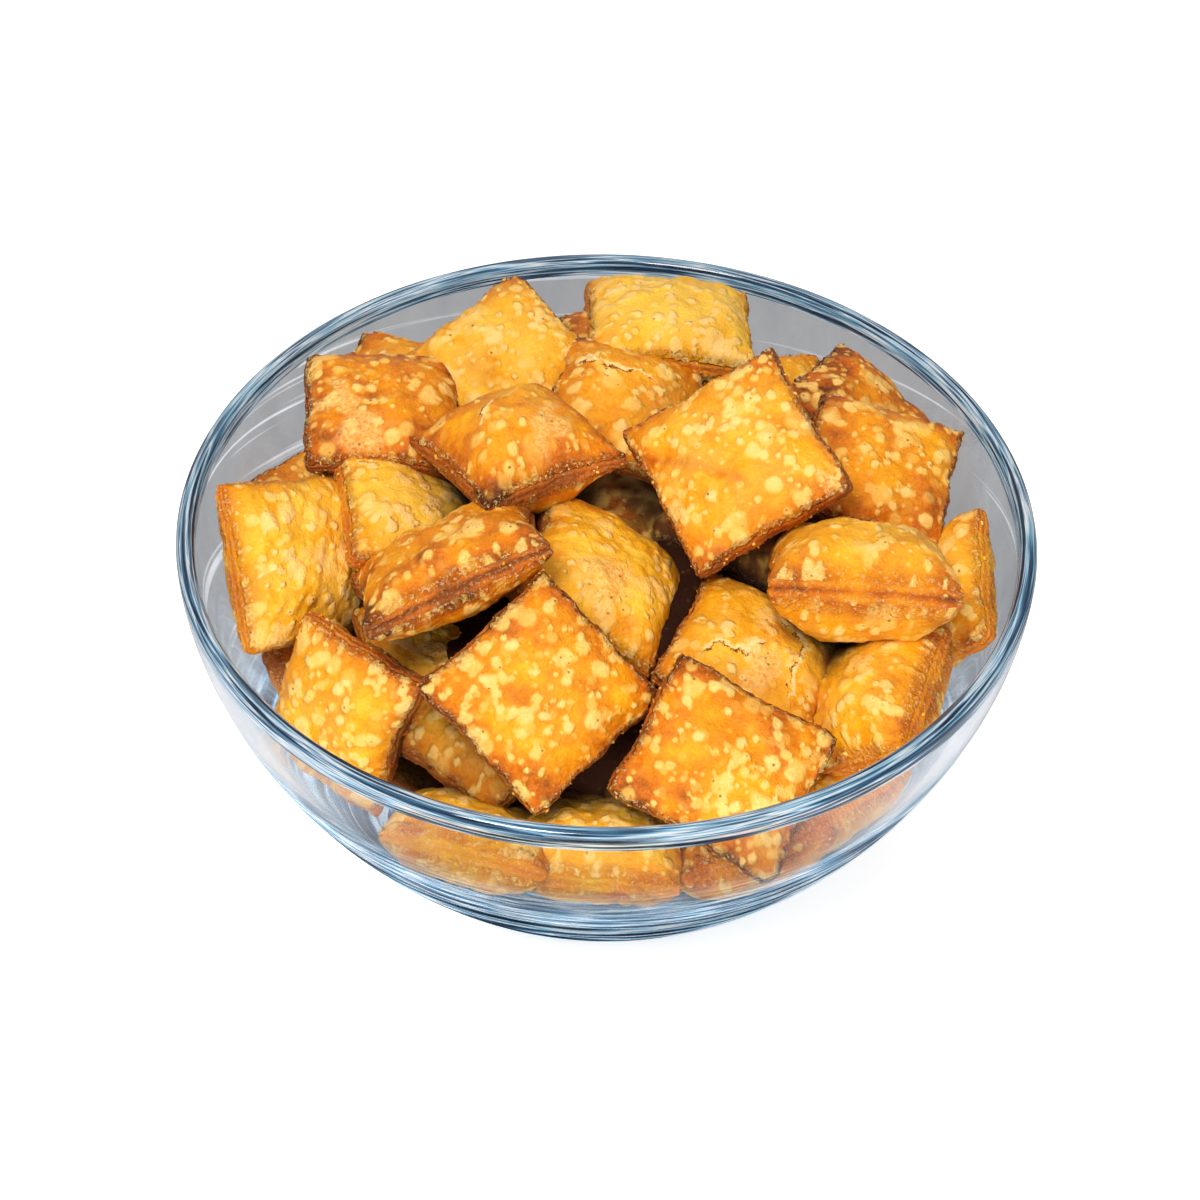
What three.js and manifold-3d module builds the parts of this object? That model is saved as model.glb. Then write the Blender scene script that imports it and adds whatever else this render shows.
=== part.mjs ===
// Glass bowl heaped with square puffed pastry snacks, in millimetres.
// The bowl stands on the plane z = 0 with its axis on z, and -Y is the front.
import * as THREE from "three";
import { mergeVertices } from "three/addons/utils/BufferGeometryUtils.js";
import Module from "manifold-3d";

// Bowl: both walls are parts of superellipses that open upwards from the rim's centre line.
const rimRadius = 70.5;
const rimBead = 1.5;
const rimHeight = 62;
const outerDepth = 76.5;
const outerPower = 1.65;
const innerRadius = rimRadius - 2 * rimBead;
const innerDepth = 71;
const innerPower = 1.7;
const floorHeight = 6.5;
const floorBlend = 1.5;
const footRingWidth = 7;
const footRecess = 1.2;
const bowlSegments = 60;

// Snacks: square pillows with a thin cut edge, held this far off the glass.
const edgeThickness = 2.6;
const sidePinch = 0.06;
const puffPower = 2.6;
const puffRoundness = 0.6;
const wallGap = 0.6;
const shownCells = 5;
const hiddenCells = 3;

const rad = THREE.MathUtils.degToRad;

function superellipse(radius, depth, power, drop) {
  return radius * Math.pow(Math.max(0, 1 - Math.pow(drop / depth, power)), 1 / power);
}

function outerWall(z) {
  return superellipse(rimRadius, outerDepth, outerPower, rimHeight - z);
}

function innerWall(z) {
  return superellipse(innerRadius, innerDepth, innerPower, Math.max(0, rimHeight - z));
}

// Height of the inside surface at a radius: the wall's curve eased into the flat floor.
function insideHeight(radius) {
  const share = Math.min(1, radius / innerRadius);
  const drop = innerDepth * Math.pow(1 - Math.pow(share, innerPower), 1 / innerPower);
  const rise = rimHeight - drop - floorHeight;
  return floorHeight + (rise + Math.hypot(rise, 2 * floorBlend)) / 2;
}

function bowlGeometry() {
  const profile = [];
  const add = (radius, z) => profile.push(new THREE.Vector2(radius, z));
  const footRadius = outerWall(0);
  add(0, footRecess);
  add(footRadius - footRingWidth - 1.5, footRecess);
  add(footRadius - footRingWidth, 0);
  add(footRadius - 1, 0);
  for (const z of [0.8, 5, 10, 16, 23, 31, 40, 50, 57]) add(outerWall(z), z);
  const centre = rimRadius - rimBead;
  for (let degrees = 0; degrees <= 180; degrees += 36)
    add(centre + rimBead * Math.cos(rad(degrees)), rimHeight + rimBead * Math.sin(rad(degrees)));
  for (const z of [56, 48, 39, 30, 22, 15, 10.5]) add(innerWall(z), z);
  for (const radius of [36, 30, 22, 11]) add(radius, insideHeight(radius));
  add(0, insideHeight(0));
  return new THREE.LatheGeometry(profile, bowlSegments).rotateX(Math.PI / 2);
}

// A snack's pose: "turn" spins it flat about z, then it tips by "lean" towards the compass
// direction "towards", counted anticlockwise from +X. "size" is its two sides and its full thickness.
const shownSnacks = [
  { name: "back left", at: [-18, 37, 64], turn: 40, lean: 19, towards: -110, size: [27, 27, 13] },
  { name: "back flat", at: [10, 46, 66], turn: 2, lean: 10, towards: 60, size: [29, 26, 13] },
  { name: "back under", at: [5, 46, 59], turn: 8, lean: 12, towards: 60, size: [26, 26, 12] },
  { name: "back corner", at: [-34, 36, 56], turn: -14, lean: 12, towards: -90, size: [26, 26, 12] },
  { name: "left brown", at: [-38, 24, 64], turn: 5, lean: 8, towards: -35, size: [27, 26, 13] },
  { name: "left puff", at: [-15, 9, 70], turn: 31, lean: 10, towards: 120, size: [27, 27, 19] },
  { name: "back middle", at: [2, 26, 64], turn: 78, lean: 14, towards: -60, size: [25, 25, 15] },
  { name: "big right", at: [21, 5, 72], turn: 24, lean: 33, towards: -118, size: [29, 29, 12] },
  { name: "right back", at: [45, 12, 64], turn: 80, lean: 18, towards: -59, size: [25, 25, 12] },
  { name: "back peak", at: [42, 30, 60], turn: 55, lean: 28, towards: -10, size: [24, 24, 12] },
  { name: "back sliver", at: [27, 37, 52], turn: 15, lean: 20, towards: -60, size: [26, 26, 12] },
  { name: "front centre", at: [-10, -36, 59], turn: 47, lean: 45, towards: -80, size: [28, 28, 12] },
  { name: "front right", at: [19, -45, 53], turn: 65, lean: 42, towards: -82, size: [25, 29, 12] },
  { name: "far left", at: [-51, -5, 57], turn: 29, lean: 53, towards: -28, size: [28, 28, 13] },
  { name: "front left", at: [-42, -28, 48], turn: 52, lean: 70, towards: -120, size: [25, 26, 13] },
  { name: "left middle", at: [-32, 4, 57], turn: 10, lean: 28, towards: 7, size: [27, 26, 13] },
  { name: "centre pale", at: [-1, -10, 58], turn: 75, lean: 28, towards: 0, size: [27, 26, 15] },
  { name: "centre right", at: [24, -22, 53], turn: 69, lean: 15, towards: -21, size: [27, 27, 14] },
  { name: "right front", at: [43, -28, 49], turn: 70, lean: 42, towards: 170, size: [26, 26, 18] },
  { name: "far right", at: [54, -6, 51], turn: 85, lean: 52, towards: -170, size: [26, 26, 12] },
  { name: "left lens", at: [-24, -15, 66], turn: 15, lean: 32, towards: 138, size: [31, 28, 14] },
  { name: "right lens", at: [41, -13, 63], turn: 0, lean: 35, towards: 85, size: [32, 28, 19] },
  { name: "left behind", at: [-44, 16, 50], turn: 50, lean: 30, towards: -30, size: [26, 26, 12] },
  { name: "under lens", at: [-26, -17, 46], turn: 20, lean: 15, towards: -30, size: [26, 26, 13] },
  { name: "under front", at: [-19, -28, 44], turn: 50, lean: 14, towards: -110, size: [26, 26, 13] },
  { name: "front glass", at: [0, -46, 36], turn: -28, lean: 15, towards: 90, size: [26, 24, 14] },
  { name: "front glass left", at: [-20, -45, 35], turn: -10, lean: 40, towards: 70, size: [27, 25, 13] },
  { name: "front glass right", at: [23, -43, 32], turn: 15, lean: 45, towards: 115, size: [26, 25, 13] },
  { name: "front glass side", at: [35, -36, 35], turn: 35, lean: 45, towards: 130, size: [25, 25, 13] },
];

const hiddenSnacks = [
  { name: "left low", at: [-42, -18, 35], turn: 40, lean: 45, towards: 25, size: [26, 26, 13] },
  { name: "middle low", at: [4, 8, 54], turn: 20, lean: 15, towards: 0, size: [27, 27, 14] },
  { name: "under big right", at: [24, 7, 60], turn: 60, lean: 18, towards: -100, size: [27, 27, 15] },
  { name: "under front right", at: [17, -36, 44], turn: 65, lean: 32, towards: -85, size: [26, 26, 14] },
];

// Rings of snacks that line the glass lower down, each leaning in to the axis.
const rings = [
  { first: -18, step: 31, count: 7, radius: 43, height: 38, lean: 50 },
  { first: 10, step: 40, count: 9, radius: 35, height: 25, lean: 42 },
  { first: 30, step: 72, count: 5, radius: 19, height: 15, lean: 12 },
];
for (const ring of rings)
  for (let i = 0; i < ring.count; i++) {
    const angle = ring.first + ring.step * i;
    const uneven = ((i * 3) % 5) - 2;
    const radius = ring.radius - Math.abs(uneven);
    hiddenSnacks.push({
      at: [radius * Math.cos(rad(angle)), radius * Math.sin(rad(angle)), ring.height + uneven],
      turn: angle + 14 * uneven,
      lean: ring.lean + 4 * uneven,
      towards: angle + 180 + 5 * uneven,
      size: [26, 25, 13],
    });
  }

// The core is a plain turned body under the snacks that joins them up.
const coreProfile = [
  [0, 8.5], [17, 9], [31, 20], [40, 34], [42, 42], [36, 50], [22, 56], [0, 58],
];

const wasm = await Module();
wasm.setup();
const { Manifold } = wasm;

function solidOf(geometry) {
  const bare = new THREE.BufferGeometry()
    .setAttribute("position", geometry.getAttribute("position"))
    .setIndex(geometry.index);
  const merged = mergeVertices(bare, 1e-3);
  return new Manifold(
    new wasm.Mesh({
      numProp: 3,
      vertProperties: new Float32Array(merged.attributes.position.array),
      triVerts: new Uint32Array(merged.index.array),
    }),
  );
}

function geometryOf(solid) {
  const mesh = solid.getMesh();
  const points = new Float32Array(mesh.numVert * 3);
  for (let i = 0; i < mesh.numVert; i++)
    points.set(mesh.vertProperties.subarray(i * mesh.numProp, i * mesh.numProp + 3), i * 3);
  return new THREE.BufferGeometry()
    .setAttribute("position", new THREE.BufferAttribute(points, 3))
    .setIndex(new THREE.BufferAttribute(mesh.triVerts, 1));
}

// A pillow is a box with "cells" cells along each side, pushed into shape.
function snackSolid(snack, cells) {
  const [length, width, thickness] = snack.size;
  const geometry = new THREE.BoxGeometry(2, 2, 2, cells, cells, 1);
  const tip = new THREE.Matrix4()
    .makeRotationZ(rad(snack.towards))
    .multiply(new THREE.Matrix4().makeRotationY(rad(snack.lean)))
    .multiply(new THREE.Matrix4().makeRotationZ(rad(snack.turn - snack.towards)));
  const position = geometry.getAttribute("position");
  const point = new THREE.Vector3();
  for (let i = 0; i < position.count; i++) {
    const u = position.getX(i);
    const v = position.getY(i);
    const dome = (1 - Math.abs(u) ** puffPower) * (1 - Math.abs(v) ** puffPower);
    const puff = (thickness - edgeThickness) * Math.max(0, dome) ** puffRoundness;
    point.set(
      (length / 2) * u * (1 - sidePinch * (1 - v * v) * Math.abs(u)),
      (width / 2) * v * (1 - sidePinch * (1 - u * u) * Math.abs(v)),
      (Math.sign(position.getZ(i)) * (edgeThickness + puff)) / 2,
    );
    point.applyMatrix4(tip).add(new THREE.Vector3(...snack.at));
    keepInside(point);
    position.setXYZ(i, point.x, point.y, point.z);
  }
  return solidOf(geometry);
}

// Draws a point in until it clears the glass.
function keepInside(point) {
  point.z = Math.max(point.z, insideHeight(0) + wallGap);
  const limit = innerWall(point.z) - wallGap;
  const radius = Math.hypot(point.x, point.y);
  if (radius > limit) {
    point.x *= limit / radius;
    point.y *= limit / radius;
  }
}

function heapGeometry() {
  const core = new THREE.LatheGeometry(
    coreProfile.map(([radius, z]) => new THREE.Vector2(radius, z)),
    20,
  ).rotateX(Math.PI / 2);
  const solids = [solidOf(core)];
  for (const snack of shownSnacks) solids.push(snackSolid(snack, shownCells));
  for (const snack of hiddenSnacks) solids.push(snackSolid(snack, hiddenCells));
  // The outermost skin alone is kept, which fills the small spaces sealed in between snacks.
  const skins = Manifold.union(solids).simplify(0.02).decompose();
  skins.sort((a, b) => b.volume() - a.volume());
  return geometryOf(skins[0]);
}

const glass = new THREE.MeshStandardMaterial({
  name: "glass",
  color: 0xdfe9ee,
  roughness: 0.04,
  transparent: true,
  opacity: 0.35,
});
const pastry = new THREE.MeshStandardMaterial({ name: "pastry", color: 0xe08f2c, roughness: 0.55 });

const root = new THREE.Group();
function addNode(name, geometry, material) {
  const mesh = new THREE.Mesh(geometry, material);
  mesh.name = name;
  root.add(mesh);
}
addNode("bowl", bowlGeometry(), glass);
addNode("heap", heapGeometry(), pastry);

export default root;
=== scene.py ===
# A round glass bowl heaped with shankarpali, small square pillows of fried dough
import math
import bpy
import numpy as np
from mathutils import Matrix, Vector


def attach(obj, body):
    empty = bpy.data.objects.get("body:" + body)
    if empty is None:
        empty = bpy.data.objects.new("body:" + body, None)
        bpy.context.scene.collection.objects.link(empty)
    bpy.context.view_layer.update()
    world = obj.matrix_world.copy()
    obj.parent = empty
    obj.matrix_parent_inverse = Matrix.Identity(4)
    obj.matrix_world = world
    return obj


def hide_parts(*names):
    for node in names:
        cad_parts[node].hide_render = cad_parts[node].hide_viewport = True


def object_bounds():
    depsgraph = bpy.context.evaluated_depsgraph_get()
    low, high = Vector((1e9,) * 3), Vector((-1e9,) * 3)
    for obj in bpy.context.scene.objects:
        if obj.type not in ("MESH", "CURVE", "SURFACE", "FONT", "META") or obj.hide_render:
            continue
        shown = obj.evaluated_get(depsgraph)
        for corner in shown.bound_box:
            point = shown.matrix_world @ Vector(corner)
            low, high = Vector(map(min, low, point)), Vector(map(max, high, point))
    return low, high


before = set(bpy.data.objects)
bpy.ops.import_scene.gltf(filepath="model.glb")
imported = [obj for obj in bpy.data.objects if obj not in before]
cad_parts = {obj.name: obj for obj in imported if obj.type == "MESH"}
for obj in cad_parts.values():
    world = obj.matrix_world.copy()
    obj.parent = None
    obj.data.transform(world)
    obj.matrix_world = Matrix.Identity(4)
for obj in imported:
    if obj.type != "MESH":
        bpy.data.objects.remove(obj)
cadBox = [list(corner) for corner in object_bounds()]

mm = 0.001  # shapes are worked out in millimetres and go into the meshes in metres

cameraView = {
    "aim": (0, 0, 62),  # centre of the rim
    "distance": 600,
    "elevation": 42.7,
    "lens": 109.6,
    "sensor": 36,
    "pictureSide": 1200,
    "aimX": 605.4,  # where the aim falls in the picture, in pixels
    "aimY": 525.7,
    "roll": 1.1,
}


def sideways(ahead):
    across = ahead.cross(Vector((0, 0, 1))).normalized()
    return across, across.cross(ahead)


def addCamera(view):
    tip = math.radians(view["elevation"])
    aim = Vector(view["aim"]) * mm
    place = aim + Vector((0, -math.cos(tip), math.sin(tip))) * view["distance"] * mm
    ahead = (aim - place).normalized()
    across, above = sideways(ahead)
    focus = view["lens"] / view["sensor"] * view["pictureSide"]
    turnRight = (view["aimX"] - view["pictureSide"] / 2) / focus
    turnUp = (view["pictureSide"] / 2 - view["aimY"]) / focus
    ahead = (ahead - across * turnRight - above * turnUp).normalized()
    across, above = sideways(ahead)
    turned = Matrix((across, above, -ahead)).transposed()
    turned = turned @ Matrix.Rotation(math.radians(view["roll"]), 3, "Z")
    data = bpy.data.cameras.new("camera")
    data.lens = view["lens"]
    data.sensor_width = view["sensor"]
    data.clip_start, data.clip_end = 0.01, 20
    camera = bpy.data.objects.new("camera", data)
    camera.matrix_world = Matrix.Translation(place) @ turned.to_4x4()
    bpy.context.scene.collection.objects.link(camera)
    bpy.context.scene.camera = camera


addCamera(cameraView)
print("camera placed")


def addPiece(name, points, faces, materials, fields=None, slots=None):
    # points in millimetres, faces a list of index arrays, fields one value a point, slots one a face
    corners = np.concatenate([part.ravel() for part in faces])
    sides = np.concatenate([np.full(len(part), part.shape[1]) for part in faces])
    mesh = bpy.data.meshes.new(name)
    mesh.vertices.add(len(points))
    mesh.vertices.foreach_set("co", (points * mm).astype(np.float32).ravel())
    mesh.loops.add(len(corners))
    mesh.loops.foreach_set("vertex_index", corners.astype(np.int32))
    mesh.polygons.add(len(sides))
    mesh.polygons.foreach_set("loop_start", (np.cumsum(sides) - sides).astype(np.int32))
    mesh.update(calc_edges=True)
    mesh.shade_smooth()
    for key, values in (fields or {}).items():
        layer = mesh.attributes.new(key, "FLOAT", "POINT")
        layer.data.foreach_set("value", values.astype(np.float32))
    for material in materials:
        mesh.materials.append(material)
    if slots is not None:
        mesh.polygons.foreach_set("material_index", slots.astype(np.int32))
    piece = bpy.data.objects.new(name, mesh)
    bpy.context.scene.collection.objects.link(piece)
    return piece


def ease(value, low, high):
    share = np.clip((value - low) / (high - low), 0, 1)
    return share * share * (3 - 2 * share)


def unevenness(points, wavelength, draw, waves=14):
    # Sines in random directions with lengths near the wavelength, added up to about -1..1
    directions = draw.normal(size=(waves, points.shape[-1]))
    directions /= np.linalg.norm(directions, axis=1)[:, None]
    directions *= 2 * math.pi / wavelength * draw.uniform(0.6, 1.5, waves)[:, None]
    start = draw.uniform(0, 2 * math.pi, waves)
    return np.sin(points @ directions.T + start).sum(-1) * 0.7 / math.sqrt(waves)


def lathe(profile, segments):
    # A profile of (radius, height) points is carried round z; its two ends lie on the axis
    ring = profile[1:-1]
    angle = np.linspace(0, 2 * math.pi, segments, endpoint=False)
    x = ring[:, :1] * np.cos(angle)
    y = ring[:, :1] * np.sin(angle)
    z = np.broadcast_to(ring[:, 1:], x.shape)
    points = np.stack([x, y, z], -1).reshape(-1, 3)
    points = np.vstack([points, [0, 0, profile[0, 1]], [0, 0, profile[-1, 1]]])
    here = np.arange(segments)
    after = np.roll(here, -1)
    row = np.arange(len(ring) - 1)[:, None] * segments
    quads = np.stack([row + here, row + after, row + segments + after, row + segments + here], -1)
    top = (len(ring) - 1) * segments
    first = np.stack([after, here, np.full(segments, len(points) - 2)], -1)
    last = np.stack([top + here, top + after, np.full(segments, len(points) - 1)], -1)
    return points, [quads.reshape(-1, 4), first, last]


def srgb(red, green, blue):
    # A colour as it looks, 0 to 255, turned into the light it stands for
    share = np.array([red, green, blue]) / 255
    light = np.where(share <= 0.04045, share / 12.92, ((share + 0.055) / 1.055) ** 2.4)
    return (*light.tolist(), 1)


def join(tree, source, socket):
    if isinstance(source, bpy.types.NodeSocket):
        tree.links.new(source, socket)
    else:
        socket.default_value = source


def maths(tree, operation, *sources):
    node = tree.nodes.new("ShaderNodeMath")
    node.operation = operation
    for source, socket in zip(sources, node.inputs):
        join(tree, source, socket)
    return node.outputs[0]


def times(tree, first, second):
    return maths(tree, "MULTIPLY", first, second)


def scaled(tree, value, factor, offset):
    return maths(tree, "MULTIPLY_ADD", value, factor, offset)


def inverse(tree, mask):
    return maths(tree, "SUBTRACT", 1.0, mask)


def vary(tree, value, noise, amount):
    # Adds noise round a middle of one half to a value
    return scaled(tree, maths(tree, "SUBTRACT", noise, 0.5), amount, value)


def step(tree, value, low, high):
    # 0 below low, 1 above high and a soft change between them
    node = tree.nodes.new("ShaderNodeMapRange")
    node.interpolation_type = "SMOOTHSTEP"
    join(tree, value, node.inputs["Value"])
    join(tree, low, node.inputs["From Min"])
    join(tree, high, node.inputs["From Max"])
    return node.outputs["Result"]


def tint(tree, factor, first, second):
    node = tree.nodes.new("ShaderNodeMix")
    node.data_type = "RGBA"
    join(tree, factor, node.inputs["Factor"])
    colours = [socket for socket in node.inputs if socket.type == "RGBA"]
    join(tree, first, colours[0])
    join(tree, second, colours[1])
    return [socket for socket in node.outputs if socket.type == "RGBA"][0]


def stain(tree, colour, mask, share, tone):
    # Lays a tone over a colour: the share of it where the mask is 1
    return tint(tree, times(tree, mask, share), colour, tone)


def grain(tree, where, scale, detail=2.0, roughness=0.5):
    node = tree.nodes.new("ShaderNodeTexNoise")
    join(tree, where, node.inputs["Vector"])
    node.inputs["Scale"].default_value = scale
    node.inputs["Detail"].default_value = detail
    node.inputs["Roughness"].default_value = roughness
    return node.outputs["Fac"]


def ramp(tree, factor, stops):
    node = tree.nodes.new("ShaderNodeValToRGB")
    join(tree, factor, node.inputs["Fac"])
    for place, colour in stops[1:-1]:
        node.color_ramp.elements.new(place)
    for element, (place, colour) in zip(node.color_ramp.elements, stops):
        element.position = place
        element.color = colour
    return node.outputs["Color"]


def field(tree, name):
    node = tree.nodes.new("ShaderNodeAttribute")
    node.attribute_name = name
    return node.outputs["Fac"]


def vectorMaths(tree, operation, vector, **given):
    node = tree.nodes.new("ShaderNodeVectorMath")
    node.operation = operation
    tree.links.new(vector, node.inputs[0])
    for name, source in given.items():
        join(tree, source, node.inputs[name])
    return node.outputs["Vector"]


def millimetres(tree):
    # Object coordinates counted in millimetres, so that a scale of 1 is a pattern 1 mm wide
    place = tree.nodes.new("ShaderNodeTexCoord")
    return vectorMaths(tree, "SCALE", place.outputs["Object"], Scale=1 / mm)


def parted(tree, vector):
    node = tree.nodes.new("ShaderNodeSeparateXYZ")
    tree.links.new(vector, node.inputs["Vector"])
    return node.outputs["X"], node.outputs["Y"], node.outputs["Z"]


def atHeight(tree, vector, height):
    node = tree.nodes.new("ShaderNodeCombineXYZ")
    for source, socket in zip((*parted(tree, vector)[:2], height), node.inputs):
        join(tree, source, socket)
    return node.outputs["Vector"]


def mixByRay(tree, kind, shader, special):
    # The second shader for rays of one kind and the first for all others
    path = tree.nodes.new("ShaderNodeLightPath")
    mixed = tree.nodes.new("ShaderNodeMixShader")
    tree.links.new(path.outputs[kind], mixed.inputs["Fac"])
    tree.links.new(shader.outputs["BSDF"], mixed.inputs[1])
    tree.links.new(special.outputs["BSDF"], mixed.inputs[2])
    tree.links.new(mixed.outputs["Shader"], tree.nodes["Material Output"].inputs["Surface"])


def newMaterial(name):
    material = bpy.data.materials.new(name)
    material.use_nodes = True
    return material, material.node_tree, material.node_tree.nodes["Principled BSDF"]


def newGroup(name, inputs, outputs):
    group = bpy.data.node_groups.new(name, "ShaderNodeTree")
    face = group.interface
    face.new_socket("Vector", in_out="INPUT", socket_type="NodeSocketVector")
    for name in inputs:
        face.new_socket(name, in_out="INPUT", socket_type="NodeSocketFloat")
    for name in outputs:
        face.new_socket(name, in_out="OUTPUT", socket_type="NodeSocketFloat")
    given = group.nodes.new("NodeGroupInput").outputs
    return group, given, group.nodes.new("NodeGroupOutput").inputs


def useGroup(tree, group, **given):
    node = tree.nodes.new("ShaderNodeGroup")
    node.node_tree = group
    for name, source in given.items():
        join(tree, source, node.inputs[name])
    return node.outputs


def frySpots():
    # Round spots of many sizes, each inside a random radius of its own round a Voronoi point, with a
    # small pit of painted shade at the point itself
    group, given, result = newGroup("frySpots", ("Size", "Share"), ("Spot", "PitShade", "Tone"))
    cells = group.nodes.new("ShaderNodeTexVoronoi")
    group.links.new(given["Vector"], cells.inputs["Vector"])
    join(group, maths(group, "DIVIDE", 1.0, given["Size"]), cells.inputs["Scale"])
    split = group.nodes.new("ShaderNodeSeparateColor")
    group.links.new(cells.outputs["Color"], split.inputs["Color"])
    kept = maths(group, "LESS_THAN", split.outputs["Red"], given["Share"])
    radius = scaled(group, split.outputs["Green"], 0.36, 0.14)
    inside = maths(group, "SUBTRACT", radius, cells.outputs["Distance"])
    pitShade = inverse(group, step(group, cells.outputs["Distance"], 0.08, 0.26))
    join(group, times(group, step(group, inside, 0.0, 0.28), kept), result["Spot"])
    join(group, times(group, pitShade, kept), result["PitShade"])
    join(group, split.outputs["Blue"], result["Tone"])
    return group


spotGroup = frySpots()

pastryLook = {
    "toasts": [
        (0.0, srgb(248, 196, 64)),
        (0.28, srgb(239, 164, 20)),
        (0.5, srgb(228, 136, 6)),
        (0.74, srgb(198, 96, 8)),
        (1.0, srgb(96, 38, 8)),
    ],
    # painted light: the yellow laid over the tops of the domes
    "sunny": srgb(249, 199, 78),
    "blisterDeep": srgb(247, 190, 80),
    "blister": srgb(252, 207, 128),
    "peeled": srgb(248, 208, 126),
    "raw": srgb(216, 130, 48),
    "wall": srgb(194, 106, 40),
    "fleck": srgb(252, 222, 158),
    # painted shade in the nicks between the torn flecks
    "nickShade": srgb(140, 66, 18),
    # painted shade of the pits and of the cracks' gaps
    "pitShade": srgb(104, 46, 12),
    "depth": srgb(34, 13, 2),  # painted shade: the colour of what lies deep in the heap, where little light comes
    "slow": 0.17,  # waves of the three noises in each millimetre
    "patchy": 0.45,
    "fine": 1.7,
    "spotSize": 1.4,
    "spotShare": 0.7,
    "roughness": 0.36,
    "shine": 0.16,
    "relief": 0.001,  # metres from the lowest to the highest grain
}


def pastryMaterial(look):
    material, tree, shader = newMaterial("pastry")
    where = millimetres(tree)
    slow = grain(tree, where, look["slow"], 1)
    patchy = grain(tree, where, look["patchy"], 2)
    fine = grain(tree, where, look["fine"], 3, 0.65)
    worn = field(tree, "worn")
    wall = times(tree, step(tree, field(tree, "wall"), 0.45, 0.8), worn)
    edge = times(tree, step(tree, field(tree, "wall"), 0.05, 0.45), worn)
    edge = times(tree, edge, scaled(tree, wall, -0.85, 1.0))

    # Frying colour: the snack's own toast, uneven over it, with painted light yellowing the tops of the
    # domes
    toast = vary(tree, field(tree, "toast"), slow, 0.6)
    toast = vary(tree, toast, patchy, 0.45)
    toast = vary(tree, toast, fine, 0.45)
    colour = ramp(tree, toast, look["toasts"])
    # Painted light: yellower on the tops of the domes, where the light falls
    sunny = times(tree, field(tree, "sunny"), step(tree, slow, 0.3, 0.6))
    colour = stain(tree, colour, sunny, 0.7, look["sunny"])

    # Blisters: the modelled ones, mottled inside, and small flat ones between them
    blister = field(tree, "blister")
    small = useGroup(tree, spotGroup, Vector=where, Size=look["spotSize"], Share=look["spotShare"])
    flat = times(tree, small["Spot"], scaled(tree, small["Tone"], 0.8, 0.15))
    pale = times(tree, maths(tree, "MAXIMUM", blister, flat), scaled(tree, fine, 1.1, 0.4))
    # Painted light also makes the blisters paler on the tops of the domes
    pale = times(tree, pale, scaled(tree, sunny, 0.9, 1.0))
    pale = times(tree, pale, scaled(tree, wall, -0.8, 1.0))
    colour = stain(tree, colour, step(tree, pale, -0.05, 0.9), 0.85, look["blisterDeep"])
    colour = stain(tree, colour, step(tree, pale, 0.25, 1.35), 0.8, look["blister"])

    # Peeled patches on some snacks: paler, matt and speckled
    patch = step(tree, field(tree, "peeled"), 0.05, 0.7)
    peeled = times(tree, patch, step(tree, fine, 0.32, 0.62))
    colour = stain(tree, colour, patch, 0.25, look["raw"])
    colour = stain(tree, colour, peeled, 0.6, look["peeled"])

    # Cut walls: browner. Where face and wall meet, pale torn flecks stand beside brown nicks, painted
    # shade between the flecks
    colour = stain(tree, colour, wall, 0.4, look["wall"])
    fleck = times(tree, step(tree, fine, 0.54, 0.6), edge)
    colour = stain(tree, colour, fleck, 0.75, look["fleck"])
    # Painted shade in the nicks between the flecks
    nickShade = times(tree, inverse(tree, step(tree, fine, 0.36, 0.44)), edge)
    colour = stain(tree, colour, nickShade, 0.35, look["nickShade"])

    # Painted shade in the pits of the blisters and in the gaps of cracks, and cracks with a torn pale
    # lip
    pitShades = times(tree, small["PitShade"], maths(tree, "MAXIMUM", step(tree, blister, 0.3, 0.6), patch))
    pitShades = times(tree, pitShades, step(tree, patchy, 0.46, 0.56))
    ragged = vary(tree, field(tree, "crackSide"), fine, 1.6)
    ragged = vary(tree, ragged, patchy, 2.4)
    # Painted shade in the crack's gap
    gap = inverse(tree, step(tree, maths(tree, "ABSOLUTE", ragged), 0.05, 0.22))
    gap = times(tree, gap, step(tree, patchy, 0.38, 0.5))
    fromLip = maths(tree, "ABSOLUTE", maths(tree, "SUBTRACT", ragged, 0.5))
    colour = stain(tree, colour, inverse(tree, step(tree, fromLip, 0.15, 0.5)), 0.6, look["fleck"])
    colour = tint(tree, maths(tree, "MAXIMUM", times(tree, pitShades, 0.8), gap), colour, look["pitShade"])

    # Painted shade: near black deep in the heap, and rougher there so that it shows no highlight
    deep = field(tree, "deep")
    colour = stain(tree, colour, deep, 0.93, look["depth"])
    tree.links.new(colour, shader.inputs["Base Color"])
    shader.inputs["Specular IOR Level"].default_value = look["shine"]

    rough = scaled(tree, maths(tree, "MAXIMUM", pale, peeled), 0.15, look["roughness"])
    rough = vary(tree, rough, fine, 0.3)
    tree.links.new(scaled(tree, deep, 0.5, rough), shader.inputs["Roughness"])

    height = times(tree, fine, scaled(tree, edge, 1.1, 0.3))
    bump = tree.nodes.new("ShaderNodeBump")
    bump.inputs["Distance"].default_value = look["relief"]
    bump.inputs["Strength"].default_value = 1
    tree.links.new(scaled(tree, blister, 0.3, height), bump.inputs["Height"])
    tree.links.new(bump.outputs["Normal"], shader.inputs["Normal"])
    return material


def streaksAndPaintedReflections():
    # Long streaks that run round the bowl, a faint tint in the wall and painted reflections on the rim,
    # base
    # and floor: noise on the direction from the axis and the way up the wall
    group, given, result = newGroup("streaksAndPaintedReflections", ("Up", "Round", "Fineness"), ("Streak",))
    outward = vectorMaths(group, "NORMALIZE", atHeight(group, given["Vector"], 0.0))
    outward = vectorMaths(group, "SCALE", outward, Scale=given["Round"])
    placed = atHeight(group, outward, times(group, given["Up"], given["Fineness"]))
    group.links.new(grain(group, placed, 1.0, 3, 0.55), result["Streak"])
    return group


streakGroup = streaksAndPaintedReflections()

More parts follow.
